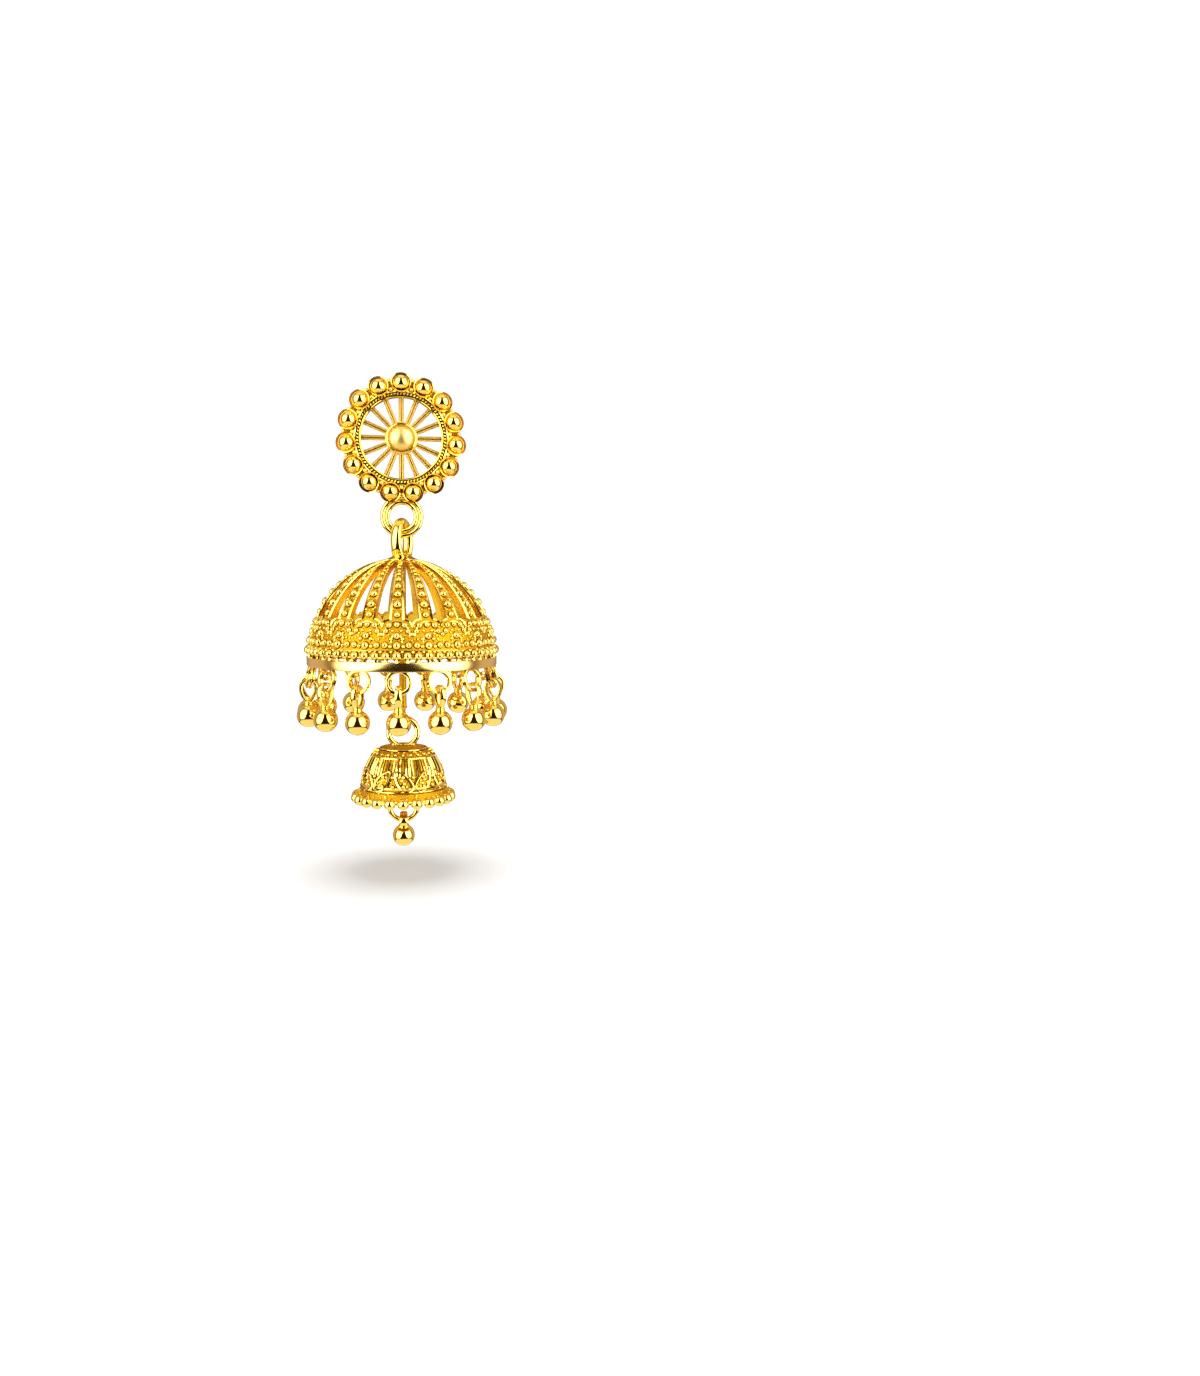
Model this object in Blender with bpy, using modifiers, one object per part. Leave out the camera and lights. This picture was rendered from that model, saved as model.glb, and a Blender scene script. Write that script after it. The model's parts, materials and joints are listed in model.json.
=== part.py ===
# Jhumka earring: a wheel-shaped stud, a pierced bell hung from it, ball drops round the rim,
# and a small bell with a clapper below.
# Metres, +Z up. The earring hangs as worn and its front faces -Y.
# The origin is the middle of the stud's back, where the earring pins on.

import math

import bmesh
import bpy
from mathutils import Matrix, Vector

MM = 0.001

# Clearances
LINK_GAP = 0.28 * MM        # between a hooked wire and the wire that it hangs on
MELT = 0.12 * MM            # depth that a soldered piece reaches into its neighbour

# Stud: plate ring, spokes, hub and cups
STUD_RING_INNER = 4.19 * MM
STUD_RING_OUTER = 5.00 * MM
STUD_PLATE = 0.90 * MM
SPOKE_COUNT = 16
SPOKE_WIDTH = 0.48 * MM
SPOKE_THICK = 0.62 * MM
HUB_RADIUS = 1.66 * MM
HUB_DOME_RADIUS = 1.33 * MM
HUB_DOME_HEIGHT = 0.95 * MM
CUP_COUNT = 15
CUP_CIRCLE = 5.52 * MM
CUP_RADIUS = 1.08 * MM
CUP_HEIGHT = 0.95 * MM
CUP_BALL_RADIUS = 0.90 * MM
CUP_FOOT_SHARE = 0.9
CUP_TILT = math.radians(18)
POST_RADIUS = 0.45 * MM
POST_LENGTH = 10.0 * MM

# Hanging ring, soldered under the stud
HANG_RING_RADIUS = 1.75 * MM
HANG_WIRE = 0.50 * MM
HANG_CENTRE_DROP = 8.07 * MM

# Bell
DOME_RADIUS = 9.95 * MM
DOME_HEIGHT = 11.15 * MM
DOME_WALL = 0.60 * MM
SHELL_INSET = 0.10 * MM         # the pierced wall stands this far inside the rim band's face
DOME_SECTORS = 19
RIB_SHARE = 0.49
DOME_TURN = math.radians(-3)
BAND_HEIGHT = 0.95 * MM
BAND_WALL = 0.75 * MM
CROWN_DROP = 2.63 * MM      # from the hanging ring's lowest wire down to the bell's crown
BAIL_GAP = 0.38 * MM
BAIL_WIRE = 0.38 * MM
BAIL_FLATNESS = 1.55
BAIL_HALF_WIDTH = 1.40 * MM
BAIL_TURN = math.radians(-26)

# Stem inside the bell, with the eye that the small bell hangs on
STEM_RADIUS = 0.38 * MM
STEM_PIVOT_DROP = 16.95 * MM    # from the bell's crown down to the small bell's pivot
EYE_RADIUS = 1.00 * MM
EYE_WIRE = 0.30 * MM

# Rim loops and ball drops
DROP_COUNT = 15
DROP_TURN = math.radians(-2)
LOOP_INSET = 0.45 * MM          # from the rim band's face in to the loops' top wires
LOOP_LEAN = math.radians(12)    # outward
LOOP_RADIUS = 1.12 * MM
LOOP_WIRE = 0.19 * MM
LOOP_FLATNESS = 1.5
LOOP_MELT = 0.08 * MM           # from the band's lower edge up to the loops' top wires
DROP_BAIL_WIRE = 0.19 * MM
DROP_BAIL_FLATNESS = 1.7
DROP_BAIL_HEIGHT = 2.26 * MM
DROP_BAIL_HALF_WIDTH = 0.75 * MM
DROP_BAIL_PEAR = 0.35
DROP_NECK_RADIUS = 0.44 * MM
DROP_NECK_HEIGHT = 0.25 * MM
DROP_BALL_RADIUS = 1.25 * MM

# Small bell
SMALL_RING_RADIUS = 1.53 * MM
SMALL_RING_WIRE = 0.30 * MM
SMALL_RADIUS = 5.10 * MM
SMALL_HEIGHT = 5.50 * MM
SMALL_WALL = 0.36 * MM
SMALL_SECTORS = 12
SMALL_BAR_SHARE = 0.50
SMALL_BEAD_COUNT = 22
SMALL_BEAD_RADIUS = 0.475 * MM
SMALL_STEM_RADIUS = 0.28 * MM
SMALL_EYE_RADIUS = 0.75 * MM
SMALL_EYE_WIRE = 0.20 * MM
SMALL_PIVOT_DROP = 5.30 * MM    # from the small bell's crown down to the clapper ring's top wire

# Clapper ring and clapper
CLAPPER_RING_RADIUS = 1.445 * MM
CLAPPER_RING_WIRE = 0.275 * MM
CLAPPER_BAIL_WIRE = 0.20 * MM
CLAPPER_BAIL_FLATNESS = 2.1
CLAPPER_BALL_RADIUS = 1.18 * MM
CLAPPER_BALL_DROP = 1.64 * MM   # from the ring's lowest wire down to the ball's centre

# Bell rows, from crown to rim: angle from the crown over a rib and over a gap, in degrees,
# and whether the gap is open below that row
DOME_ROWS = [
    (0.0, 0.0, False),
    (6.0, 6.0, False),
    (14.5, 14.5, True),
    (26.0, 26.0, True),
    (38.0, 38.0, True),
    (50.0, 52.0, True),
    (62.5, 66.0, False),
    (74.0, 75.0, False),
    (88.0, 88.0, False),
]

# Small bell rows, from crown to brim: share of its height, share of its radius,
# and whether the windows are open below that row
SMALL_ROWS = [
    (0.00, 0.00, False),
    (0.01, 0.34, False),
    (0.08, 0.55, False),
    (0.20, 0.655, True),
    (0.38, 0.755, True),
    (0.56, 0.815, False),
    (0.76, 0.85, False),
    (0.85, 0.91, False),
    (1.00, 1.00, False),
]


# Scene and material

def clear_scene():
    for item in list(bpy.data.objects):
        bpy.data.objects.remove(item, do_unlink=True)


def new_collection(name):
    collection = bpy.data.collections.new(name)
    bpy.context.scene.collection.children.link(collection)
    return collection


def gold_material(name, colour, roughness):
    material = bpy.data.materials.new(name)
    material.use_nodes = True
    shader = material.node_tree.nodes["Principled BSDF"]
    shader.inputs["Base Color"].default_value = (*colour, 1.0)
    shader.inputs["Metallic"].default_value = 1.0
    shader.inputs["Roughness"].default_value = roughness
    return material


clear_scene()
PARTS = new_collection("jhumka_earring")
TOOLS = new_collection("solder_pieces")
GOLD = gold_material("gold", (0.90, 0.52, 0.09), 0.18)


# Helpers that make meshes

def mesh_from(build):
    shape = bmesh.new()
    build(shape)
    bmesh.ops.recalc_face_normals(shape, faces=shape.faces)
    mesh = bpy.data.meshes.new("shape")
    shape.to_mesh(mesh)
    shape.free()
    return mesh


def block(size):
    def build(shape):
        bmesh.ops.create_cube(shape, size=1.0, matrix=Matrix.Diagonal((*size, 1.0)))
    return mesh_from(build)


def rod(radius, length, sides):
    def build(shape):
        bmesh.ops.create_cone(shape, cap_ends=True, segments=sides,
                              radius1=radius, radius2=radius, depth=length)
    return mesh_from(build)


def ball(radius, sides, rings):
    def build(shape):
        bmesh.ops.create_uvsphere(shape, u_segments=sides, v_segments=rings, radius=radius)
    return mesh_from(build)


def evaluated_mesh(item):
    bpy.context.view_layer.update()
    graph = bpy.context.evaluated_depsgraph_get()
    return bpy.data.meshes.new_from_object(item.evaluated_get(graph))


def turned(profile, steps):
    """A profile of (radius, height) points, from the top down its outer side, turned about Z."""
    mesh = bpy.data.meshes.new("profile")
    points = [(radius, 0.0, height) for radius, height in profile]
    edges = [(number, number + 1) for number in range(len(points) - 1)]
    if profile[0][0] > 0.0:
        edges.append((len(points) - 1, 0))
    mesh.from_pydata(points, edges, [])
    item = bpy.data.objects.new("profile", mesh)
    TOOLS.objects.link(item)
    screw = item.modifiers.new("turn", "SCREW")
    screw.steps = steps
    screw.render_steps = steps
    screw.use_merge_vertices = True
    screw.merge_threshold = 1e-6
    result = evaluated_mesh(item)
    bpy.data.objects.remove(item)
    return result


def wire_loop(outline, wire, flatness, resolution):
    """A closed wire along (x, z) points, its section widened along Y by the flatness."""
    curve = bpy.data.curves.new("wire", "CURVE")
    curve.dimensions = "3D"
    curve.bevel_depth = wire
    curve.bevel_resolution = resolution
    spline = curve.splines.new("POLY")
    spline.points.add(len(outline) - 1)
    spline.use_cyclic_u = True
    for point, (x, z) in zip(spline.points, outline):
        point.co = (x, 0.0, z, 1.0)
    item = bpy.data.objects.new("wire", curve)
    TOOLS.objects.link(item)
    mesh = evaluated_mesh(item)
    bpy.data.objects.remove(item)
    mesh.transform(Matrix.Diagonal((1.0, flatness, 1.0, 1.0)))
    return mesh


def circle_outline(radius, count):
    turn = math.tau / count
    return [(radius * math.sin(turn * step), radius * math.cos(turn * step)) for step in range(count)]


def placed(mesh, matrix):
    copy = mesh.copy()
    copy.transform(matrix)
    return copy


def joined(meshes):
    """One mesh of several separate bodies."""
    shape = bmesh.new()
    for mesh in meshes:
        shape.from_mesh(mesh)
    result = bpy.data.meshes.new("joined")
    shape.to_mesh(result)
    shape.free()
    return result


def fused(base, pieces):
    """The mesh of a base with every piece soldered to it."""
    body = bpy.data.objects.new("base", base)
    TOOLS.objects.link(body)
    tools = []
    for number, piece in enumerate(pieces):
        tool = bpy.data.objects.new("piece", piece)
        tool.hide_render = True
        tool.display_type = "WIRE"
        TOOLS.objects.link(tool)
        tools.append(tool)
        union = body.modifiers.new(f"solder_{number}", "BOOLEAN")
        union.operation = "UNION"
        union.object = tool
    result = evaluated_mesh(body)
    for item in [body, *tools]:
        bpy.data.objects.remove(item)
    return result


def part(name, mesh, location, turn=0.0, parent=None):
    item = bpy.data.objects.new(name, mesh)
    PARTS.objects.link(item)
    item.location = location
    item.rotation_euler = (0.0, 0.0, turn)
    item.parent = parent
    mesh.materials.clear()
    mesh.materials.append(GOLD)
    mesh.shade_smooth()
    mesh.set_sharp_from_angle(angle=math.radians(35))
    return item


def around(count, start=0.0):
    return [start + math.tau * step / count for step in range(count)]


def pierced_shell(sectors, lines, rows, wall):
    """A bell wall cut through between its ribs.

    Each line of a sector gives its place as a share of the pitch, whether it runs over
    a gap's middle, and whether the wall is cut through after it. Each row gives
    (radius, height) over a rib, the same over a gap's middle, and whether it is cut below.
    """
    count = len(lines)
    columns = count * sectors
    bands = len(rows) - 1
    pitch = math.tau / sectors
    shape = bmesh.new()
    bmesh.ops.create_grid(shape, x_segments=columns, y_segments=bands, size=1.0)

    def cell(point):
        return (0.5 * (point.x + 1.0) * columns, 0.5 * (1.0 - point.y) * bands)

    holes = []
    for face in shape.faces:
        column, row = cell(face.calc_center_median())
        if lines[int(column) % count][2] and rows[int(row)][2]:
            holes.append(face)
    bmesh.ops.delete(shape, geom=holes, context="FACES")
    for vertex in shape.verts:
        column, row = cell(vertex.co)
        column = round(column)
        over_rib, over_gap, _ = rows[round(row)]
        share, is_gap_middle, _ = lines[column % count]
        radius, height = over_gap if is_gap_middle else over_rib
        angle = pitch * (column // count + share) - 0.5 * math.pi
        vertex.co = (radius * math.cos(angle), radius * math.sin(angle), height)
    bmesh.ops.remove_doubles(shape, verts=shape.verts, dist=1e-6)
    shape.normal_update()
    mesh = bpy.data.meshes.new("shell")
    shape.to_mesh(mesh)
    shape.free()
    item = bpy.data.objects.new("shell", mesh)
    TOOLS.objects.link(item)
    solid = item.modifiers.new("wall", "SOLIDIFY")
    solid.thickness = wall
    solid.offset = -1.0
    solid.use_even_offset = True
    result = evaluated_mesh(item)
    bpy.data.objects.remove(item)
    return result


# The stud

def stud_cup():
    base = -0.5 * STUD_PLATE + MELT
    rim = CUP_HEIGHT - CUP_BALL_RADIUS * 0.5
    profile = [
        (0.0, CUP_HEIGHT + 0.35 * CUP_BALL_RADIUS),
        (0.66 * CUP_BALL_RADIUS, CUP_HEIGHT + 0.12 * CUP_BALL_RADIUS),
        (CUP_BALL_RADIUS, rim),
        (CUP_RADIUS, rim - MELT),
        (CUP_FOOT_SHARE * CUP_RADIUS, base),
        (0.0, base),
    ]
    return turned(profile, 10)


def stud_mesh():
    """The stud lies in the XZ plane, its front at -Y; Z of each turned piece becomes -Y."""
    to_front = Matrix.Rotation(math.radians(90), 4, "X")
    middle = Matrix.Translation((0.0, -0.5 * STUD_PLATE, 0.0))
    half = 0.5 * STUD_PLATE
    bevel = 0.25 * STUD_PLATE
    ring_profile = [
        (STUD_RING_INNER + bevel, half),
        (STUD_RING_OUTER, half),
        (STUD_RING_OUTER, -half),
        (STUD_RING_INNER, -half),
        (STUD_RING_INNER, half - bevel),
    ]
    ring = turned(ring_profile, 2 * CUP_COUNT)
    hub_profile = [
        (0.0, half + HUB_DOME_HEIGHT),
        (0.6 * HUB_DOME_RADIUS, half + 0.8 * HUB_DOME_HEIGHT),
        (0.95 * HUB_DOME_RADIUS, half + 0.35 * HUB_DOME_HEIGHT),
        (HUB_DOME_RADIUS, half),
        (HUB_RADIUS, half - bevel),
        (HUB_RADIUS, -half),
        (0.0, -half),
    ]
    hub = turned(hub_profile, SPOKE_COUNT)
    spoke_start = HUB_RADIUS - MELT
    spoke_end = STUD_RING_INNER + MELT
    spoke = block((spoke_end - spoke_start, SPOKE_WIDTH, SPOKE_THICK))
    out = Matrix.Translation((0.5 * (spoke_start + spoke_end), 0.0, 0.0))
    spokes = [placed(spoke, Matrix.Rotation(angle, 4, "Z") @ out) for angle in around(SPOKE_COUNT)]
    cup = stud_cup()
    lean = Matrix.Rotation(CUP_TILT, 4, "Y")
    reach = Matrix.Translation((CUP_CIRCLE, 0.0, 0.0))
    cups = [placed(cup, Matrix.Rotation(angle, 4, "Z") @ reach @ lean)
            for angle in around(CUP_COUNT, math.radians(90))]
    post = rod(POST_RADIUS, POST_LENGTH + MELT, 10)
    post = placed(post, Matrix.Translation((0.0, 0.0, -half - 0.5 * POST_LENGTH + 0.5 * MELT)))
    flat = [ring, joined(spokes), hub, joined(cups), post]
    stood = [placed(mesh, middle @ to_front) for mesh in flat]
    hang_ring = wire_loop(circle_outline(HANG_RING_RADIUS, 18), HANG_WIRE, 0.8, 2)
    hang_ring = placed(hang_ring, middle @ Matrix.Translation((0.0, 0.0, -HANG_CENTRE_DROP)))
    return fused(stood[0], [*stood[1:], hang_ring])


# The bell, modelled about its pivot on the hanging ring's lowest wire

def dome_rows():
    shell_radius = DOME_RADIUS - SHELL_INSET
    rows = []
    for over_rib, over_gap, is_open in DOME_ROWS:
        places = []
        for degrees in (over_rib, over_gap):
            angle = math.radians(degrees)
            height = -CROWN_DROP - DOME_HEIGHT * (1.0 - math.cos(angle))
            places.append((shell_radius * math.sin(angle), height))
        rows.append((places[0], places[1], is_open))
    return rows


def rim_band():
    low = -CROWN_DROP - DOME_HEIGHT
    high = low + BAND_HEIGHT
    inner = DOME_RADIUS - BAND_WALL
    profile = [(inner, high), (DOME_RADIUS, high), (DOME_RADIUS, low), (inner, low)]
    return turned(profile, 3 * DROP_COUNT)


def loop_place(distance):
    """Out and up, from the bell's pivot to a point so far down a loop from its top wire."""
    out = DOME_RADIUS - LOOP_INSET + distance * math.sin(LOOP_LEAN)
    up = -CROWN_DROP - DOME_HEIGHT + LOOP_MELT - distance * math.cos(LOOP_LEAN)
    return out, up


def dome_bail():
    top = HANG_WIRE + BAIL_GAP + BAIL_WIRE
    bottom = -CROWN_DROP - MELT
    middle = 0.5 * (top + bottom)
    half_height = 0.5 * (top - bottom)
    count = 18
    outline = [(BAIL_HALF_WIDTH * math.sin(math.tau * step / count),
                middle + half_height * math.cos(math.tau * step / count)) for step in range(count)]
    loop = wire_loop(outline, BAIL_WIRE, BAIL_FLATNESS, 2)
    return placed(loop, Matrix.Rotation(math.radians(90) + BAIL_TURN, 4, "Z"))


def stem_and_eye():
    eye_low = -CROWN_DROP - STEM_PIVOT_DROP - SMALL_RING_WIRE - LINK_GAP - EYE_WIRE
    eye_centre = eye_low + EYE_RADIUS
    high = -CROWN_DROP - 0.5 * DOME_WALL
    low = eye_centre + EYE_RADIUS
    stem = rod(STEM_RADIUS, high - low, 10)
    stem = placed(stem, Matrix.Translation((0.0, 0.0, 0.5 * (high + low))))
    eye = wire_loop(circle_outline(EYE_RADIUS, 14), EYE_WIRE, 1.0, 1)
    stand = Matrix.Translation((0.0, 0.0, eye_centre)) @ Matrix.Rotation(math.radians(90), 4, "Z")
    return [stem, placed(eye, stand)]


def rim_loops():
    loop = wire_loop(circle_outline(LOOP_RADIUS, 10), LOOP_WIRE, LOOP_FLATNESS, 1)
    out, up = loop_place(LOOP_RADIUS)
    place = Matrix.Translation((0.0, -out, up)) @ Matrix.Rotation(-LOOP_LEAN, 4, "X")
    return joined([placed(loop, Matrix.Rotation(angle, 4, "Z") @ place)
                   for angle in around(DROP_COUNT, DROP_TURN)])


def dome_mesh():
    edge = 0.5 * RIB_SHARE
    lines = [(-0.5, True, True), (-edge, False, False), (edge, False, True)]
    shell = pierced_shell(DOME_SECTORS, lines, dome_rows(), DOME_WALL)
    shell.transform(Matrix.Rotation(DOME_TURN, 4, "Z"))
    return fused(shell, [rim_band(), dome_bail(), *stem_and_eye(), rim_loops()])


# A ball drop, modelled about the loop wire that it hangs on

def drop_mesh():
    top = LOOP_WIRE + LINK_GAP + DROP_BAIL_WIRE
    half_height = 0.5 * DROP_BAIL_HEIGHT
    middle = top - half_height
    count = 10
    outline = []
    for step in range(count):
        angle = math.tau * step / count
        pear = 1.0 + DROP_BAIL_PEAR * math.cos(angle)
        outline.append((DROP_BAIL_HALF_WIDTH * math.sin(angle) * pear,
                        middle + half_height * math.cos(angle)))
    bail = wire_loop(outline, DROP_BAIL_WIRE, DROP_BAIL_FLATNESS, 1)
    bail = placed(bail, Matrix.Rotation(math.radians(90), 4, "Z"))
    neck_top = top - DROP_BAIL_HEIGHT + 0.5 * DROP_BAIL_WIRE
    ball_top = neck_top - DROP_NECK_HEIGHT
    centre = ball_top - math.sqrt(DROP_BALL_RADIUS ** 2 - DROP_NECK_RADIUS ** 2)
    start = math.asin(DROP_NECK_RADIUS / DROP_BALL_RADIUS)
    rings = 5
    profile = [(0.0, neck_top), (0.85 * DROP_NECK_RADIUS, neck_top)]
    for step in range(rings + 1):
        angle = start + (math.pi - start) * step / rings
        profile.append((DROP_BALL_RADIUS * math.sin(angle), centre + DROP_BALL_RADIUS * math.cos(angle)))
    profile[-1] = (0.0, centre - DROP_BALL_RADIUS)
    return fused(turned(profile, 10), [bail])


# The small bell, modelled about its ring's top wire

def small_crown():
    return -2.0 * SMALL_RING_RADIUS + 0.5 * SMALL_RING_WIRE


def small_bell_mesh():
    crown = small_crown()
    rows = []
    for height_share, radius_share, is_open in SMALL_ROWS:
        place = (SMALL_RADIUS * radius_share, crown - SMALL_HEIGHT * height_share)
        rows.append((place, place, is_open))
    edge = 0.5 * SMALL_BAR_SHARE
    lines = [(-edge, False, False), (edge, False, True)]
    shell = pierced_shell(SMALL_SECTORS, lines, rows, SMALL_WALL)
    ring = wire_loop(circle_outline(SMALL_RING_RADIUS, 16), SMALL_RING_WIRE, 1.0, 1)
    ring = placed(ring, Matrix.Translation((0.0, 0.0, -SMALL_RING_RADIUS)))
    bead = ball(SMALL_BEAD_RADIUS, 10, 4)
    brim = crown - SMALL_HEIGHT
    place = Matrix.Translation((0.0, -SMALL_RADIUS + MELT, brim))
    beads = [placed(bead, Matrix.Rotation(angle, 4, "Z") @ place) for angle in around(SMALL_BEAD_COUNT)]
    eye_low = crown - SMALL_PIVOT_DROP - CLAPPER_RING_WIRE - LINK_GAP - SMALL_EYE_WIRE
    eye_centre = eye_low + SMALL_EYE_RADIUS
    eye = wire_loop(circle_outline(SMALL_EYE_RADIUS, 12), SMALL_EYE_WIRE, 1.0, 1)
    stand = Matrix.Translation((0.0, 0.0, eye_centre)) @ Matrix.Rotation(math.radians(90), 4, "Z")
    high = crown - 0.5 * SMALL_WALL
    low = eye_centre + SMALL_EYE_RADIUS
    stem = rod(SMALL_STEM_RADIUS, high - low, 8)
    stem = placed(stem, Matrix.Translation((0.0, 0.0, 0.5 * (high + low))))
    return fused(shell, [joined(beads), ring, stem, placed(eye, stand)])


# The clapper's ring and the clapper, modelled about the wires that they hang on

def clapper_ring_mesh():
    ring = wire_loop(circle_outline(CLAPPER_RING_RADIUS, 16), CLAPPER_RING_WIRE, 1.0, 1)
    return placed(ring, Matrix.Translation((0.0, 0.0, -CLAPPER_RING_RADIUS)))


def clapper_mesh():
    reach = CLAPPER_RING_WIRE + LINK_GAP + CLAPPER_BAIL_WIRE
    bail = wire_loop(circle_outline(reach, 12), CLAPPER_BAIL_WIRE, CLAPPER_BAIL_FLATNESS, 1)
    bail = placed(bail, Matrix.Rotation(math.radians(90), 4, "Z"))
    clapper = ball(CLAPPER_BALL_RADIUS, 12, 7)
    clapper = placed(clapper, Matrix.Translation((0.0, 0.0, -CLAPPER_BALL_DROP)))
    return fused(clapper, [bail])


def build_earring():
    hang_y = -0.5 * STUD_PLATE
    pivot = -HANG_CENTRE_DROP - HANG_RING_RADIUS
    stud = part("stud", stud_mesh(), (0.0, 0.0, 0.0))
    dome = part("dome", dome_mesh(), (0.0, hang_y, pivot), parent=stud)
    drop = drop_mesh()
    out, up = loop_place(2.0 * LOOP_RADIUS)
    for number, angle in enumerate(around(DROP_COUNT, DROP_TURN), start=1):
        place = Matrix.Rotation(angle, 3, "Z") @ Vector((0.0, -out, up))
        part(f"drop_{number:02d}", drop, place, turn=angle, parent=dome)
    small_place = (0.0, 0.0, -CROWN_DROP - STEM_PIVOT_DROP)
    small_bell = part("small_bell", small_bell_mesh(), small_place, parent=dome)
    ring_place = (0.0, 0.0, small_crown() - SMALL_PIVOT_DROP)
    ring = part("clapper_ring", clapper_ring_mesh(), ring_place, parent=small_bell)
    clapper_place = (0.0, 0.0, -2.0 * CLAPPER_RING_RADIUS)
    part("clapper", clapper_mesh(), clapper_place, parent=ring)


build_earring()
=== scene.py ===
# The looks of the jhumka earring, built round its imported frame.
# Shapes are worked out in millimetres and become metres when a mesh is made.
# A turn is an angle in degrees about a bell's axis, from the front (-Y) towards +X.
# A fall is an angle in degrees from the bell's crown down to its rim.

import json
import math

import bpy
import numpy as np
from mathutils import Matrix, Vector


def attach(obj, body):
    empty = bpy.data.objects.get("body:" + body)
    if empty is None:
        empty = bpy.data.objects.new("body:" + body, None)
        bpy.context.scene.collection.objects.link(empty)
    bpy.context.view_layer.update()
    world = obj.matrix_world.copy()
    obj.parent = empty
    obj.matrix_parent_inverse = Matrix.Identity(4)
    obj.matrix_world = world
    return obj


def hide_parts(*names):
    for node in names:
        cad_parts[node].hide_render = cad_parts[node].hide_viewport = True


MM = 0.001

# Finishes of the gold, and the darker golds that paint shade, each the place of its gold in GOLDS
POLISHED = 0
# Satin is rough gold whose darker colour also paints the shade of the recessed ground
SATIN_AND_SHADE = 1
GRAIN = 2
BRUSHED = 3
INSIDE = 4
BAND = 5
# A near-black gold that paints the shade round beads, in creases and beside wires
PAINTED_SHADE = 6

# Places taken from the frame
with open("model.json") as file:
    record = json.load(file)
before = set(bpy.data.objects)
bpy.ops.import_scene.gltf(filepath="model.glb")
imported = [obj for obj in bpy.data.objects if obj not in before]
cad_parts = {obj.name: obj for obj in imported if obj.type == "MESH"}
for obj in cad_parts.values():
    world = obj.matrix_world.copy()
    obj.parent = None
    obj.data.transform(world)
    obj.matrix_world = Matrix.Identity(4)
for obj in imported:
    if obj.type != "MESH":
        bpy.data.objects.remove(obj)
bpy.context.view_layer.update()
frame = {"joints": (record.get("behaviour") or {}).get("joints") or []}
PIVOTS = {joint["name"]: Vector(joint["pos_m"]) / MM for joint in frame["joints"]}
BELL_PIVOT = PIVOTS["bell_swing"]
SMALL_PIVOT = PIVOTS["small_bell_swing"]

# Links, as on the solids: the wires' radii and the free gap between two linked wires
LINK_GAP = 0.28
HANG_RING_WIRE = 0.50
BAIL_WIRE = 0.38
LOOP_WIRE = 0.19
DROP_BAIL_WIRE = 0.19
SMALL_RING_WIRE = 0.30
CLAPPER_RING_WIRE = 0.275
CLAPPER_HOOK_WIRE = 0.20

# Stud, in its own frame: x to the right, y up, z towards the viewer, z = 0 at its back
STUD_PLATE = 0.90
STUD_RING_INNER = 4.19
STUD_RING_OUTER = 5.00
ROPE_RADIUS = 4.52
ROPE_BEADS = 84
ROPE_LEAN = 38
ROPE_EDGE_OFFSET = 0.27
ROPE_EDGE_WIRE = 0.09
ROPE_GROOVE_HALF = 0.18
SPOKE_COUNT = 16
SPOKE_WIRE_OFFSET = 0.15
HUB_RADIUS = 1.66
HUB_DOME_RADIUS = 1.33
HUB_DOME_HEIGHT = 0.95
CUP_COUNT = 15
CUP_CIRCLE = 5.52
CUP_RADIUS = 1.08
CUP_TILT = 18
CUP_BALL_HALF_WIDTH = 0.84
CUP_BALL_HEIGHT = 0.80
CUP_BALL_MIDDLE = 0.50
HANG_CENTRE_DROP = 8.07
HANG_OUTER = 2.25
HANG_WIRE = 0.26
POST_RADIUS = 0.45
POST_LENGTH = 10.0

# Balls in the corner between two cups: circle, height, radius
CORNER_BALLS = [
    (5.98, 0.62 * STUD_PLATE, 0.20),
    (5.06, STUD_PLATE, 0.22),
]

# Bell, with its heights measured from the frame's origin
CROWN_DROP = 2.63
CROWN = BELL_PIVOT.z - CROWN_DROP
DOME_HEIGHT = 11.15
DOME_RADIUS = 9.85
DOME_CENTRE = CROWN - DOME_HEIGHT
DOME_WALL = 0.60
RIB_COUNT = 19
RIB_PITCH = 360 / RIB_COUNT
RIB_HALF = 4.65
RIB_TURN = -3
GAP_TOP = 14.5
GAP_SHOULDER = 62.0
GAP_NOTCH = 66.2
SHELL_START = 0.5
SHELL_END = 83.0
BAND_RADIUS = 9.95
BAND_WALL = 0.75
BAND_HEIGHT = 0.95
BAIL_GAP = 0.38
BAIL_HALF_WIDTH = 1.40
BAIL_TURN = 26
BAIL_SINK = 0.12
STEM_SINK = 0.3
STEM_RADIUS = 0.38
EYE_RADIUS = 1.0
EYE_WIRE = 0.30
DROP_COUNT = 15
DROP_TURN = -2
LOOP_RADIUS = 1.12
LOOP_LEAN = math.radians(12)
LOOP_TOP_CIRCLE = BAND_RADIUS - 0.45
LOOP_TOP_HEIGHT = DOME_CENTRE + 0.08
DROP_BAIL_HALF_HEIGHT = 1.13
DROP_BAIL_HALF_WIDTH = 0.75
DROP_BAIL_PEAR = 0.35
DROP_NECK_RADIUS = 0.44
DROP_NECK_HEIGHT = 0.25
DROP_BALL_RADIUS = 1.25

# Edge wires of a rib: fall and radius of the wire
RIB_EDGE = [
    (7.0, 0.07),
    (20.0, 0.10),
    (45.0, 0.14),
    (63.0, 0.14),
]

# Main beads of a rib: fall and radius
RIB_BEADS = [
    (15.6, 0.10),
    (19.4, 0.12),
    (23.4, 0.14),
    (27.7, 0.165),
    (31.0, 0.19),
    (35.9, 0.28),
    (41.3, 0.34),
    (47.0, 0.38),
    (53.7, 0.42),
    (59.8, 0.33),
]

# Arches of the girdle under one rib: half width, fall of the feet, rise, radius of the wire
GIRDLE_ARCHES = [
    (8.0, 71.5, 7.9, 0.085),
    (3.3, 74.8, 4.9, 0.07),
]

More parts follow.
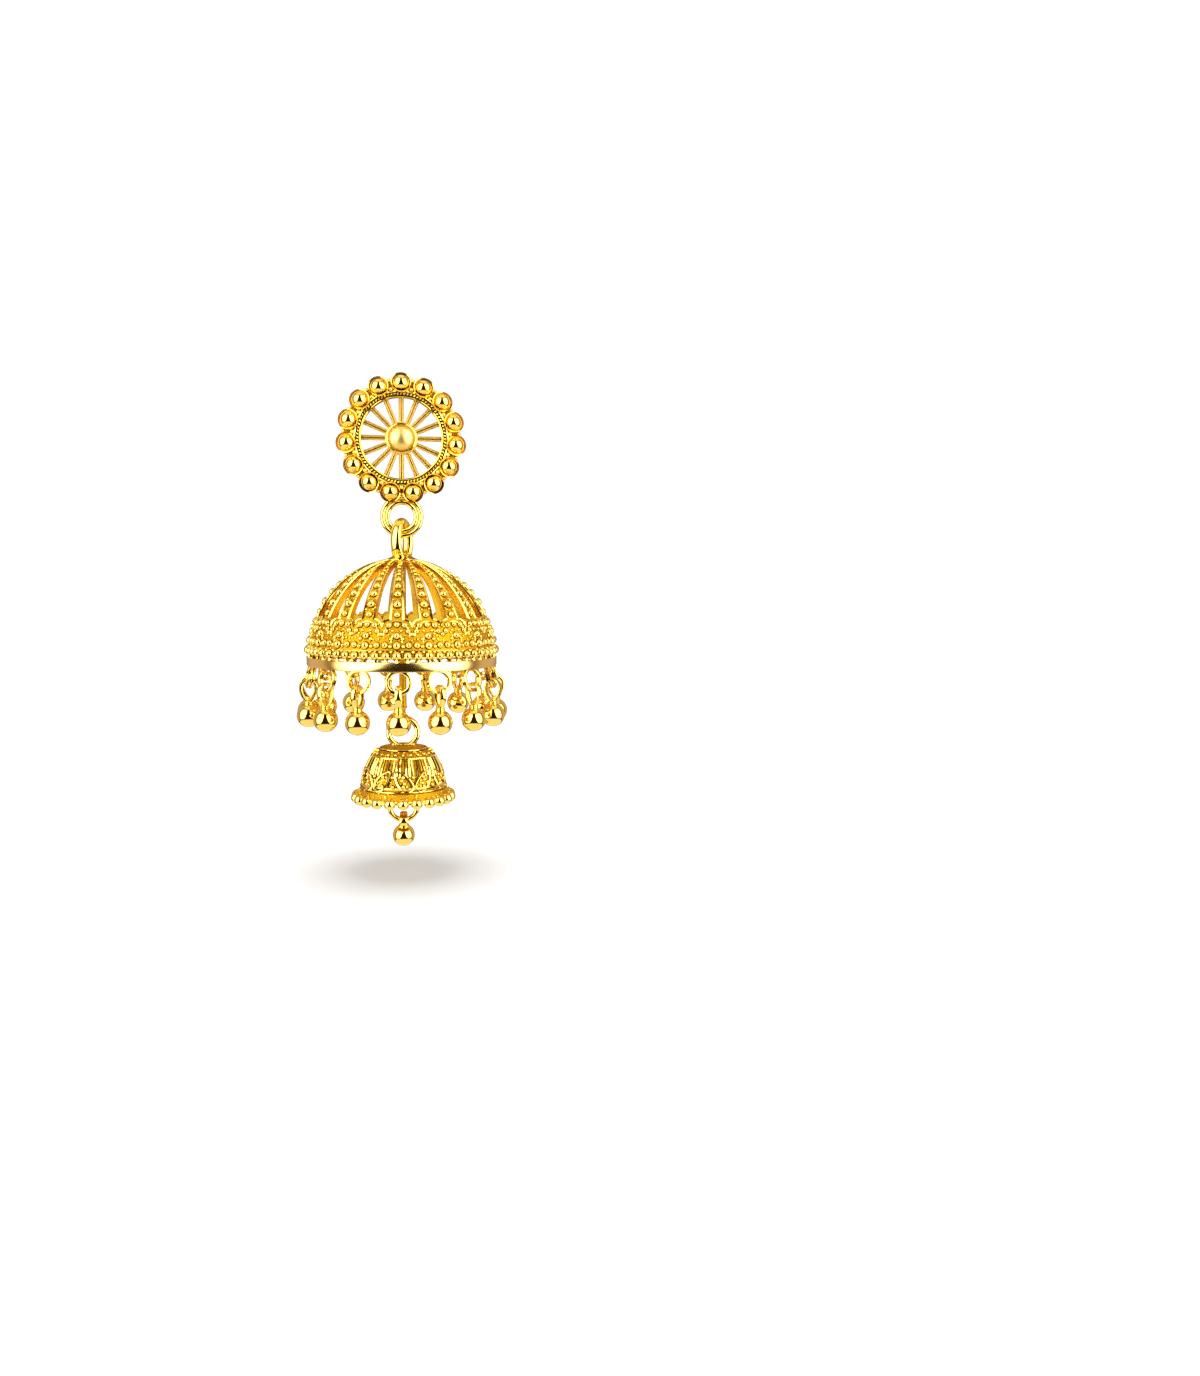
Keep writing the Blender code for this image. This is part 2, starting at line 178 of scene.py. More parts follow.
# Main beads of the girdle under one rib: turn from the rib, fall, radius
EDGE_TURN = 9.47
GIRDLE_BEADS = [
    (0.0, 65.4, 0.31),
    (-4.9, 65.7, 0.31),
    (4.9, 65.7, 0.31),
    (-6.9, 68.9, 0.28),
    (6.9, 68.9, 0.28),
    (EDGE_TURN, 70.6, 0.22),
    (0.0, 71.4, 0.36),
    (-3.4, 73.0, 0.20),
    (3.4, 73.0, 0.20),
    (-2.6, 68.6, 0.15),
    (2.6, 68.6, 0.15),
    (0.0, 76.4, 0.41),
    (-7.0, 76.2, 0.34),
    (7.0, 76.2, 0.33),
    (-3.8, 76.9, 0.21),
    (3.8, 76.9, 0.21),
    (0.0, 81.6, 0.45),
    (-6.32, 81.7, 0.42),
    (6.32, 81.7, 0.42),
    (-3.2, 79.7, 0.15),
    (3.2, 79.7, 0.15),
    (EDGE_TURN, 79.8, 0.17),
]
GIRDLE_GRAIN_TRIES = 150

# Small bell
SMALL_CROWN = SMALL_PIVOT.z - 2.91
SMALL_RING_RADIUS = 1.53
SMALL_RADIUS = 5.1
SMALL_HEIGHT = 5.5
SMALL_WALL = 0.36
SMALL_SECTORS = 12
SMALL_BEADS = 22
SMALL_BEAD_RADIUS = 0.61
SMALL_GRAIN_TRIES = 380
SMALL_STEM_SINK = 0.2
SMALL_STEM_RADIUS = 0.28
SMALL_EYE_RADIUS = 0.75
SMALL_EYE_WIRE = 0.20
# Width and rise of the dark strip that paints the shade beside a wire
SHADE_EDGE = 0.10
SHADE_RISE = 0.05
LEAF_SHARE = 0.60
LEAF_HALF_LENGTH = 1.25
LEAF_HALF_WIDTH = 0.62
LEAF_TILT = 38
LEAF_CIRCLE = 4.15
CLAPPER_RING_TOP = SMALL_CROWN - 5.30
CLAPPER_RING_RADIUS = 1.445
CLAPPER_BALL_RADIUS = 1.18
CLAPPER_BALL_DROP = 1.64

# Beads along a leaf of the small bell: distance from the leaf's middle, radius
LEAF_BEADS = [
    (-0.62, 0.14),
    (-0.22, 0.19),
    (0.20, 0.19),
    (0.60, 0.14),
]

# Seated beads in each sector of the small bell: share of its height, radius
SECTOR_BEADS = [
    (0.52, 0.20),
    (0.69, 0.19),
    (0.13, 0.16),
]

# Small bell's wall, from crown to brim: share of its height, share of its radius
SMALL_PROFILE = [
    (0.00, 0.00),
    (0.01, 0.34),
    (0.08, 0.55),
    (0.20, 0.655),
    (0.38, 0.755),
    (0.56, 0.815),
    (0.76, 0.85),
    (0.85, 0.91),
    (1.00, 1.00),
]


# Meshes as (points, faces)

def unit(vectors):
    vectors = np.asarray(vectors, float)
    return vectors / np.linalg.norm(vectors, axis=-1, keepdims=True)


def full_turn(count):
    """Angles, in radians, of evenly spaced points round a circle."""
    return np.arange(count) * math.tau / count


def on_axis(pivot, height=0.0):
    """A place on the upright line through a pivot."""
    return Matrix.Translation((0, pivot.y, height))


def turned(profile, steps, closed=False):
    """A profile of (radius, height), from the top down its outer side, turned about Z."""
    points = []
    rings = []
    angles = full_turn(steps)
    for radius, height in profile:
        if abs(radius) < 1e-9:
            rings.append([len(points)] * steps)
            points.append((0.0, 0.0, height))
            continue
        rings.append(list(range(len(points), len(points) + steps)))
        points.extend(zip(radius * np.cos(angles), radius * np.sin(angles), [height] * steps))
    pairs = list(zip(rings, rings[1:]))
    if closed:
        pairs.append((rings[-1], rings[0]))
    faces = []
    for upper, lower in pairs:
        for step in range(steps):
            after = (step + 1) % steps
            corners = [upper[step], lower[step], lower[after], upper[after]]
            face = list(dict.fromkeys(corners))
            if len(face) > 2:
                faces.append(face)
    return np.array(points), faces


def ball(radius, steps, rings, reach=180):
    """A ball, or the part of one that reaches so many degrees from its top, with a flat end."""
    profile = []
    for ring in range(rings + 1):
        angle = math.radians(reach) * ring / rings
        profile.append((radius * math.sin(angle), radius * math.cos(angle)))
    profile[0] = (0.0, radius)
    if reach == 180:
        profile[-1] = (0.0, -radius)
    else:
        profile.append((0.0, profile[-1][1]))
    return turned(profile, steps)


def torus(radius, wire, steps, sides):
    """A round wire ring about Z."""
    angles = [math.pi / 2 - math.tau * side / sides for side in range(sides)]
    profile = [(radius + wire * math.cos(angle), wire * math.sin(angle)) for angle in angles]
    return turned(profile, steps, closed=True)


def swept(path, ups, half_side, half_up, sides=8, closed=False, square=1.0):
    """A wire along a path. Its section is half_side wide across the ups and half_up along them."""
    path = np.asarray(path, float)
    count = len(path)
    if closed:
        tangents = np.roll(path, -1, axis=0) - np.roll(path, 1, axis=0)
    else:
        tangents = np.gradient(path, axis=0)
    tangents = unit(tangents)
    ups = np.broadcast_to(np.asarray(ups, float), path.shape)
    side = unit(np.cross(tangents, ups))
    up = np.cross(side, tangents)
    half_side = np.broadcast_to(half_side, count)[:, None, None]
    half_up = np.broadcast_to(half_up, count)[:, None, None]
    angles = full_turn(sides)
    across = (np.sign(np.cos(angles)) * np.abs(np.cos(angles)) ** square)[None, :, None]
    along = (np.sign(np.sin(angles)) * np.abs(np.sin(angles)) ** square)[None, :, None]
    points = path[:, None, :] + half_side * across * side[:, None, :] + half_up * along * up[:, None, :]
    faces = []
    last = count if closed else count - 1
    for row in range(last):
        after = (row + 1) % count
        for turn in range(sides):
            beside = (turn + 1) % sides
            faces.append([row * sides + turn, after * sides + turn,
                          after * sides + beside, row * sides + beside])
    if not closed:
        faces.append(list(range(sides)))
        faces.append([(count - 1) * sides + turn for turn in reversed(range(sides))])
    return points.reshape(-1, 3), faces


def walled(outer, inner, keep):
    """The outer faces, and the inner and edge faces, of a wall between two closed grids where kept."""
    rows, columns = outer.shape[:2]
    points = np.concatenate([outer.reshape(-1, 3), inner.reshape(-1, 3)])
    step = rows * columns

    def corner(row, column):
        return row * columns + column % columns

    def kept(row, column):
        return 0 <= row < rows - 1 and keep[row, column % columns]

    front = []
    faces = []
    for row in range(rows - 1):
        for column in range(columns):
            if not kept(row, column):
                continue
            a = corner(row, column)
            b = corner(row + 1, column)
            c = corner(row + 1, column + 1)
            d = corner(row, column + 1)
            front.append([a, b, c, d])
            faces.append([d + step, c + step, b + step, a + step])
            if not kept(row - 1, column):
                faces.append([a, d, d + step, a + step])
            if not kept(row + 1, column):
                faces.append([c, b, b + step, c + step])
            if not kept(row, column - 1):
                faces.append([b, a, a + step, b + step])
            if not kept(row, column + 1):
                faces.append([d, c, c + step, d + step])
    return points, front, faces


class Form:
    """One mesh, gathered from closed shapes."""

    def __init__(self):
        self.points = []
        self.faces = []
        self.finishes = []
        self.count = 0

    def add(self, shape, finish, matrix=None):
        points, faces = shape
        if matrix is not None:
            points = points @ np.array(matrix.to_3x3()).T + np.array(matrix.translation)
        self.points.append(points)
        self.faces.extend([[index + self.count for index in face] for face in faces])
        self.finishes.extend([finish] * len(faces))
        self.count += len(points)

    def add_wall(self, wall, front_finish, back_finish):
        points, front, faces = wall
        self.add((points, front + faces), front_finish)
        self.finishes[len(self.finishes) - len(faces):] = [back_finish] * len(faces)

    def add_beads(self, template, places, finish):
        """Copies of a unit bead at (centre, outward direction, radius) places."""
        points, faces = template
        for centre, outward, radius in places:
            outward = unit(outward)
            helper = (1.0, 0.0, 0.0) if abs(outward[2]) > 0.7 else (0.0, 0.0, 1.0)
            side = unit(np.cross(helper, outward))
            other = np.cross(outward, side)
            basis = np.stack([side, other, outward])
            self.add((radius * points @ basis + np.asarray(centre), faces), finish)

    def add_seated(self, place, normal, radius):
        """A polished bead on a dark disc that paints the shade round its foot."""
        self.add_beads(BEAD, [(place + 0.12 * radius * normal, normal, radius)], POLISHED)
        self.add_beads(SHADE_DISC, [(place + 0.03 * normal, normal, radius)], PAINTED_SHADE)

    def mesh(self, name, origin=(0.0, 0.0, 0.0)):
        points = (np.concatenate(self.points) - np.array(origin)) * MM
        mesh = bpy.data.meshes.new(name)
        mesh.from_pydata(points.tolist(), [], self.faces)
        mesh.polygons.foreach_set("material_index", self.finishes)
        mesh.shade_smooth()
        mesh.set_sharp_from_angle(angle=math.radians(38))
        mesh.update()
        for material in GOLDS:
            mesh.materials.append(material)
        return mesh


def show(mesh, name, body, node, place=Vector((0.0, 0.0, 0.0)), turn=0.0):
    """A piece that rides on a body and stands for a node."""
    piece = bpy.data.objects.new(name, mesh)
    bpy.context.scene.collection.objects.link(piece)
    piece.location = place * MM
    piece.rotation_euler = (0.0, 0.0, math.radians(turn))
    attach(piece, body)
    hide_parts(node)
    return piece


# Gold

def gold(name, pale, deep, roughness, patch, bump, grain_scale):
    """Metal whose colour and polish vary a little from place to place, with a fine worked surface."""
    material = bpy.data.materials.new(name)
    material.use_nodes = True
    nodes = material.node_tree.nodes
    links = material.node_tree.links
    shader = nodes["Principled BSDF"]
    shader.inputs["Metallic"].default_value = 1.0
    place = nodes.new("ShaderNodeTexCoord")
    clouds = nodes.new("ShaderNodeTexNoise")
    clouds.inputs["Scale"].default_value = patch
    clouds.inputs["Detail"].default_value = 4.0
    links.new(place.outputs["Object"], clouds.inputs["Vector"])
    tint = nodes.new("ShaderNodeMix")
    tint.data_type = "RGBA"
    tint.inputs["A"].default_value = (*deep, 1.0)
    tint.inputs["B"].default_value = (*pale, 1.0)
    links.new(clouds.outputs["Fac"], tint.inputs["Factor"])
    links.new(tint.outputs["Result"], shader.inputs["Base Color"])
    polish = nodes.new("ShaderNodeMapRange")
    polish.inputs["To Min"].default_value = roughness[0]
    polish.inputs["To Max"].default_value = roughness[1]
    links.new(clouds.outputs["Fac"], polish.inputs["Value"])
    links.new(polish.outputs["Result"], shader.inputs["Roughness"])
    grain = nodes.new("ShaderNodeTexNoise")
    grain.inputs["Scale"].default_value = grain_scale
    grain.inputs["Detail"].default_value = 3.0
    links.new(place.outputs["Object"], grain.inputs["Vector"])
    relief = nodes.new("ShaderNodeBump")
    relief.inputs["Strength"].default_value = bump
    relief.inputs["Distance"].default_value = 0.00005
    links.new(grain.outputs["Fac"], relief.inputs["Height"])
    links.new(relief.outputs["Normal"], shader.inputs["Normal"])
    return material


GOLDS = [
    gold("gold_polished", (0.92, 0.67, 0.16), (0.87, 0.61, 0.11), (0.03, 0.07), 350.0, 0.03, 1500.0),
    # Rough gold, darker than the rest to paint the shade of the recessed ground
    gold("gold_satin_and_shade", (0.60, 0.325, 0.010), (0.48, 0.25, 0.005), (0.50, 0.68), 700.0, 0.30, 9000.0),
    gold("gold_grain", (0.87, 0.59, 0.07), (0.78, 0.49, 0.04), (0.08, 0.16), 900.0, 0.06, 5000.0),
    gold("gold_brushed", (0.94, 0.72, 0.23), (0.90, 0.65, 0.15), (0.36, 0.42), 400.0, 0.0, 2500.0),
    gold("gold_inside", (0.90, 0.60, 0.06), (0.83, 0.51, 0.03), (0.22, 0.34), 500.0, 0.10, 6000.0),
    gold("gold_band", (0.94, 0.68, 0.22), (0.88, 0.60, 0.16), (0.16, 0.22), 400.0, 0.0, 2500.0),
    # Painted shade: a near-black gold round beads, under the rope, between spoke wires and beside wires
    gold("gold_painted_shade", (0.12, 0.048, 0.002), (0.07, 0.026, 0.001), (0.40, 0.55), 700.0, 0.0, 9000.0),
]

SMALL_BEAD = ball(1.0, 7, 3, reach=115)
BEAD = ball(1.0, 12, 5, reach=125)
ROUND_BEAD = ball(1.0, 20, 12)
# A dark disc under a bead, to paint the shade round its foot
SHADE_DISC = turned([(0.0, 0.0), (1.12, 0.0), (1.22, -0.3), (0.0, -0.3)], 10)


# Stud

def stud_polar(radius, degrees, lift):
    """A point of the stud, by its circle, its angle from +X and its height over the back."""
    angle = math.radians(degrees)
    return np.array([radius * math.cos(angle), radius * math.sin(angle), lift])


def stud_ring(form):
    plate = STUD_PLATE
    soft = 0.06
    slope = 0.22
    profile = [
        (STUD_RING_INNER + slope, plate),
        (STUD_RING_OUTER - soft, plate),
        (STUD_RING_OUTER, plate - soft),
        (STUD_RING_OUTER, soft),
        (STUD_RING_OUTER - soft, 0.0),
        (STUD_RING_INNER + soft, 0.0),
        (STUD_RING_INNER, soft),
        (STUD_RING_INNER, plate - slope),
    ]
    form.add(turned(profile, 120, closed=True), SATIN_AND_SHADE)


def stud_rope(form):
    """A twisted rope over a dark ring that paints the shade beneath it, between two plain wires."""
    lift = Matrix.Translation((0.0, 0.0, STUD_PLATE + 0.01))
    form.add(torus(ROPE_RADIUS - ROPE_EDGE_OFFSET, ROPE_EDGE_WIRE, 120, 8), GRAIN, lift)
    form.add(torus(ROPE_RADIUS + ROPE_EDGE_OFFSET, ROPE_EDGE_WIRE, 120, 8), POLISHED, lift)
    inner = ROPE_RADIUS - ROPE_GROOVE_HALF
    outer = ROPE_RADIUS + ROPE_GROOVE_HALF
    high = STUD_PLATE + 0.02
    low = STUD_PLATE - 0.1
    # A dark ring under the rope's beads paints their shade
    rope_shade = [(inner, high), (outer, high), (outer, low), (inner, low)]
    form.add(turned(rope_shade, 120, closed=True), PAINTED_SHADE)
    half_side = [0.06, 0.115, 0.06]
    half_up = [0.08, 0.16, 0.08]
    for number in range(ROPE_BEADS):
        degrees = 360 * number / ROPE_BEADS
        centre = stud_polar(ROPE_RADIUS, degrees, STUD_PLATE + 0.04)
        reach = stud_polar(0.13, degrees + 90 + ROPE_LEAN, 0.0)
        path = [centre - reach, centre, centre + reach]
        form.add(swept(path, (0, 0, 1), half_side, half_up), POLISHED)


def spoke_path(degrees, offset, lift, count):
    """A straight path from the hub to the ring, beside a spoke's middle line."""
    along = stud_polar(1.0, degrees, 0.0)
    across = stud_polar(1.0, degrees + 90, 0.0)
    reach = np.linspace(HUB_RADIUS - 0.15, ROPE_RADIUS - 0.25, count)
    return [along * radius + across * offset + np.array([0, 0, lift]) for radius in reach]


def stud_spokes(form):
    """Each spoke is two wires on a floor, with a dark line between them that paints the shade of their
    crease.
    """
    for number in range(SPOKE_COUNT):
        degrees = 360 * number / SPOKE_COUNT
        for offset in (-SPOKE_WIRE_OFFSET, SPOKE_WIRE_OFFSET):
            wire = spoke_path(degrees, offset, 0.64, 5)
            form.add(swept(wire, (0, 0, 1), 0.12, 0.15, sides=10), BRUSHED)
        floor = spoke_path(degrees, 0.0, 0.42, 3)
        form.add(swept(floor, (0, 0, 1), 0.17, 0.20, square=0.5), INSIDE)
        # A dark strip between the two wires paints the shade of their crease
        line = spoke_path(degrees, 0.0, 0.60, 3)
        form.add(swept(line, (0, 0, 1), 0.10, 0.04), PAINTED_SHADE)


def stud_hub(form):
    plate = STUD_PLATE
    profile = [(0.0, plate + HUB_DOME_HEIGHT)]
    for step in range(1, 13):
        angle = math.radians(90 * step / 12)
        profile.append((HUB_DOME_RADIUS * math.sin(angle), plate + HUB_DOME_HEIGHT * math.cos(angle)))
    profile += [
        (HUB_DOME_RADIUS + 0.04, plate - 0.04),
        (HUB_RADIUS - 0.08, plate - 0.04),
        (HUB_RADIUS, plate - 0.12),
        (HUB_RADIUS, 0.0),
        (0.0, 0.0),
    ]
    form.add(turned(profile, 64), BRUSHED)
    ring = Matrix.Translation((0.0, 0.0, plate - 0.03))
    form.add(torus(HUB_DOME_RADIUS + 0.13, 0.10, 64, 8), POLISHED, ring)


def cup_shape():
    """A ball sunk in a thin-walled cup."""
    profile = [(0.0, CUP_BALL_MIDDLE + CUP_BALL_HEIGHT)]
    for step in range(1, 13):
        angle = math.radians(96 * step / 12)
        radius = CUP_BALL_HALF_WIDTH * math.sin(angle)
        profile.append((radius, CUP_BALL_MIDDLE + CUP_BALL_HEIGHT * math.cos(angle)))
    profile += [
        (0.85, 0.26),
        (CUP_RADIUS - 0.16, 0.30),
        (CUP_RADIUS - 0.15, 0.62),
        (CUP_RADIUS - 0.11, 0.69),
        (CUP_RADIUS - 0.05, 0.71),
        (CUP_RADIUS - 0.01, 0.64),
        (CUP_RADIUS, 0.50),
        (CUP_RADIUS - 0.04, 0.10),
        (CUP_RADIUS - 0.12, -0.30),
        (0.0, -0.30),
    ]
    return turned(profile, 40)


def stud_cups(form):
    cup = cup_shape()
    lean = Matrix.Rotation(math.radians(CUP_TILT), 4, "Y")
    reach = Matrix.Translation((CUP_CIRCLE, 0.0, 0.5 * STUD_PLATE))
    for number in range(CUP_COUNT):
        degrees = 90 + 360 * number / CUP_COUNT
        spin = Matrix.Rotation(math.radians(degrees), 4, "Z")
        form.add(cup, POLISHED, spin @ reach @ lean)
        stud_corner(form, degrees + 180 / CUP_COUNT)


def stud_corner(form, degrees):
    """The web, the balls and the grains in the corner between two cups."""
    web = [stud_polar(radius, degrees, 0.40) for radius in (4.8, 5.4, 6.05)]
    form.add(swept(web, (0, 0, 1), 0.22, 0.22, square=0.6), SATIN_AND_SHADE)
    for circle, lift, radius in CORNER_BALLS:
        form.add_beads(ROUND_BEAD, [(stud_polar(circle, degrees, lift), (0, 0, 1), radius)], POLISHED)
    for side in (-4.6, 4.6):
        grain = stud_polar(4.92, degrees + side, STUD_PLATE)
        form.add_beads(SMALL_BEAD, [(grain, (0, 0, 1), 0.12)], POLISHED)


def stud_hang_ring(form):
    """A ring of two wires side by side, with solder between them and a ball of it on top."""
    centre = Matrix.Translation((0.0, -HANG_CENTRE_DROP, 0.5 * STUD_PLATE))
    outer = HANG_OUTER - HANG_WIRE
    inner = HANG_OUTER - 3 * HANG_WIRE + 0.03
    form.add(torus(outer, HANG_WIRE, 64, 14), POLISHED, centre)
    form.add(torus(inner, HANG_WIRE, 64, 14), POLISHED, centre)
    half = 0.14
    solder = [(outer, half), (outer, -half), (inner, -half), (inner, half)]
    form.add(turned(solder, 64, closed=True), SATIN_AND_SHADE, centre)
    foot = stud_polar(HANG_CENTRE_DROP - HANG_OUTER - 0.02, -90, 0.45 * STUD_PLATE)
    form.add_beads(ROUND_BEAD, [(foot, (0, 0, 1), 0.36)], POLISHED)


def stud_post(form):
    """The post behind the stud, with a solder foot and a notch near its rounded tip."""
    length = POST_LENGTH
    profile = [
        (0.0, 0.10),
        (POST_RADIUS + 0.35, 0.10),
        (POST_RADIUS + 0.35, -0.02),
        (POST_RADIUS + 0.10, -0.14),
        (POST_RADIUS, -0.35),
        (POST_RADIUS, -length + 1.75),
        (POST_RADIUS - 0.09, -length + 1.60),
        (POST_RADIUS - 0.09, -length + 1.35),
        (POST_RADIUS, -length + 1.20),
        (POST_RADIUS, -length + 0.35),
        (POST_RADIUS - 0.12, -length + 0.10),
        (POST_RADIUS - 0.28, -length),
        (0.0, -length),
    ]
    form.add(turned(profile, 32), POLISHED)


def make_stud():
    form = Form()
    stud_ring(form)
    stud_rope(form)
    stud_spokes(form)
    stud_hub(form)
    stud_cups(form)
    stud_hang_ring(form)
    stud_post(form)
    mesh = form.mesh("stud_gold")
    mesh.transform(Matrix.Rotation(math.radians(90), 4, "X"))
    show(mesh, "stud_gold", "ear_stud", "stud")


# Bell

def on_dome(turn, fall, lift=0.0):
    """A point on the bell at a turn and a fall, raised from its wall."""
    turn = np.radians(turn)
    fall = np.radians(fall)
    radius = (DOME_RADIUS + lift) * np.sin(fall)
    height = DOME_CENTRE + (DOME_HEIGHT + lift) * np.cos(fall)
    x = radius * np.sin(turn)
    y = BELL_PIVOT.y - radius * np.cos(turn)
    return np.stack(np.broadcast_arrays(x, y, height), axis=-1)


def dome_normal(turn, fall):
    turn = np.radians(turn)
    fall = np.radians(fall)
    across = np.sin(fall) / DOME_RADIUS
    x = across * np.sin(turn)
    y = -across * np.cos(turn)
    return unit(np.stack(np.broadcast_arrays(x, y, np.cos(fall) / DOME_HEIGHT), axis=-1))


def rib_turns():
    return [RIB_TURN + RIB_PITCH * number for number in range(RIB_COUNT)]


def gap_bottom(share):
    """Where a gap ends, at a share from its middle (0) to a rib (1): two arcs that meet in a notch."""
    rise = np.sqrt(np.clip(1.0 - (1.0 - np.abs(share)) ** 2, 0.0, 1.0))
    return GAP_NOTCH - (GAP_NOTCH - GAP_SHOULDER) * rise


def dome_shell(form):
    """The pierced wall: a grid whose cells are left out where a gap is."""
    rib_cells = 4
    gap_cells = 8
    gap_half = 0.5 * RIB_PITCH - RIB_HALF
    turns = []
    bottoms = []
    is_gap = []
    for centre in rib_turns():
        for cell in range(rib_cells):
            turns.append(centre + RIB_HALF * (2 * cell / rib_cells - 1))
            bottoms.append(GAP_SHOULDER)
            is_gap.append(False)
        for cell in range(gap_cells):
            share = 2 * cell / gap_cells - 1
            turns.append(centre + 0.5 * RIB_PITCH + gap_half * share)
            bottoms.append(gap_bottom(share))
            is_gap.append(True)
    turns = np.array(turns)
    bottoms = np.array(bottoms)
    top_rows = 5
    gap_rows = 18
    low_rows = 10
    falls = []
    for row in range(top_rows):
        falls.append(np.full(len(turns), SHELL_START + (GAP_TOP - SHELL_START) * row / top_rows))
    for row in range(gap_rows):
        falls.append(GAP_TOP + (bottoms - GAP_TOP) * row / gap_rows)
    for row in range(low_rows + 1):
        falls.append(bottoms + (SHELL_END - bottoms) * row / low_rows)
    falls = np.array(falls)
    keep = np.ones((len(falls) - 1, len(turns)), bool)
    keep[top_rows:top_rows + gap_rows, np.array(is_gap)] = False
    outer = on_dome(turns[None, :], falls)
    inner = on_dome(turns[None, :], falls, -DOME_WALL)
    # The outer wall's darker gold paints the shade of the ground between the beads
    form.add_wall(walled(outer, inner, keep), SATIN_AND_SHADE, INSIDE)
    crown_ball = (on_dome(0.0, 0.0, -0.35), (0, 0, 1), 0.5)
    form.add_beads(ROUND_BEAD, [crown_ball], POLISHED)


def dome_wire(form, turns, falls, wire, lift=0.0):
    turns = np.asarray(turns, float)
    falls = np.asarray(falls, float)
    form.add(swept(on_dome(turns, falls, lift), dome_normal(turns, falls), wire, wire), POLISHED)


def dome_ribs(form):
    edge_falls, edge_wires = zip(*RIB_EDGE)
    falls = np.linspace(edge_falls[0], edge_falls[-1], 30)
    wire = np.interp(falls, edge_falls, edge_wires)
    inset = np.degrees(0.10 / (DOME_RADIUS * np.sin(np.radians(falls))))
    reach = RIB_HALF - np.minimum(inset, 2.6)
    for centre in rib_turns():
        for side in (-1, 1):
            dome_wire(form, centre + side * reach, falls, wire, lift=0.02)
        for fall, radius in RIB_BEADS:
            form.add_seated(on_dome(centre, fall), dome_normal(centre, fall), radius)


def rib_grains(form, rng):
    """Fine grains on the rib's floor between its main beads."""
    for centre in rib_turns():
        for (upper, upper_radius), (lower, lower_radius) in zip(RIB_BEADS[3:], RIB_BEADS[4:]):
            middle = 0.5 * (upper + lower)
            reach = math.degrees(0.30 / (DOME_RADIUS * math.sin(math.radians(middle))))
            size = 0.55 * min(upper_radius, lower_radius)
            for share in (-1.0, 1.0):
                fall = middle + rng.uniform(-0.4, 0.4)
                turn = centre + share * reach * 1.25
                radius = min(0.15, size) * rng.uniform(0.85, 1.1)
                place = on_dome(turn, fall, 0.35 * radius)
                form.add_beads(SMALL_BEAD, [(place, dome_normal(turn, fall), radius)], GRAIN)


def girdle(form, rng):
    """Under each rib the gap's edge wire, two arches, the main beads and the grains."""
    gap_half = 0.5 * RIB_PITCH - RIB_HALF
    shares = np.linspace(-1.0, 1.0, 17)
    arch = np.radians(np.linspace(-90, 90, 15))
    for centre in rib_turns():
        middle = centre + 0.5 * RIB_PITCH
        dome_wire(form, middle + gap_half * shares, gap_bottom(shares) + 0.5, 0.13, lift=0.02)
        for half, feet, rise, wire in GIRDLE_ARCHES:
            dome_wire(form, centre + half * np.sin(arch), feet - rise * np.cos(arch), wire, lift=0.03)
        for turn, fall, radius in GIRDLE_BEADS:
            form.add_seated(on_dome(centre + turn, fall), dome_normal(centre + turn, fall), radius)
        girdle_grains(form, rng, centre)


def girdle_grains(form, rng, centre):
    """Fine grains strewn over the girdle, clear of its main beads."""
    degree = DOME_RADIUS * math.radians(1)
    taken = [(turn * degree, fall * degree, radius) for turn, fall, radius in GIRDLE_BEADS]
    half = 0.5 * RIB_PITCH
    for turn, fall, radius in GIRDLE_BEADS:
        if turn == EDGE_TURN:
            taken.append((-half * degree, fall * degree, radius))
    for _ in range(GIRDLE_GRAIN_TRIES):
        turn = rng.uniform(-half, half)
        fall = rng.uniform(61.5, 83.0)
        radius = rng.uniform(0.11, 0.15)
        share = (half - abs(turn)) / (half - RIB_HALF)
        if fall < gap_bottom(min(1.0, share)) + 1.8:
            continue
        across = turn * degree
        down = fall * degree
        if all(math.hypot(across - x, down - y) > 0.98 * (radius + other) for x, y, other in taken):
            taken.append((across, down, radius))
            place = on_dome(centre + turn, fall, 0.25 * radius)
            form.add_beads(SMALL_BEAD, [(place, dome_normal(centre + turn, fall), radius)], GRAIN)


def dome_rows(form):
    """Two wires that carry the girdle's rows of beads, and the posts that stand on the band."""
    turns = np.arange(0, 360, 3.0)
    for fall, wire in ((79.2, 0.07), (SHELL_END - 0.1, 0.12)):
        path = on_dome(turns, fall, 0.02)
        form.add(swept(path, dome_normal(turns, fall), wire, wire, closed=True), POLISHED)
    half_side = [0.24, 0.17, 0.24]
    half_up = [0.20, 0.17, 0.20]
    for number in range(3 * RIB_COUNT):
        turn = RIB_TURN + number * RIB_PITCH / 3
        top = on_dome(turn, SHELL_END - 0.6, -0.12)
        low = on_dome(turn, 90.0, -0.12)
        low[2] = DOME_CENTRE + BAND_HEIGHT - 0.08
        post = [top, 0.5 * (top + low), low]
        form.add(swept(post, dome_normal(turn, 88), half_side, half_up), POLISHED)


def dome_band(form):
    low = DOME_CENTRE
    high = DOME_CENTRE + BAND_HEIGHT
    inner = BAND_RADIUS - BAND_WALL
    soft = 0.07
    profile = [
        (inner + soft, high),
        (BAND_RADIUS - soft, high),
        (BAND_RADIUS - 0.3 * soft, high - 0.3 * soft),
        (BAND_RADIUS, high - soft),
        (BAND_RADIUS, low + soft),
        (BAND_RADIUS - 0.3 * soft, low + 0.3 * soft),
        (BAND_RADIUS - soft, low),
        (inner + soft, low),
        (inner, low + soft),
        (inner, high - soft),
    ]
    form.add(turned(profile, 180, closed=True), BAND, on_axis(BELL_PIVOT))


def loop_place(distance):
    """Out and up, to a point so far down a rim loop from its top wire."""
    out = LOOP_TOP_CIRCLE + distance * math.sin(LOOP_LEAN)
    up = LOOP_TOP_HEIGHT - distance * math.cos(LOOP_LEAN)
    return out, up


def drop_turns():
    return [DROP_TURN + 360 * number / DROP_COUNT for number in range(DROP_COUNT)]


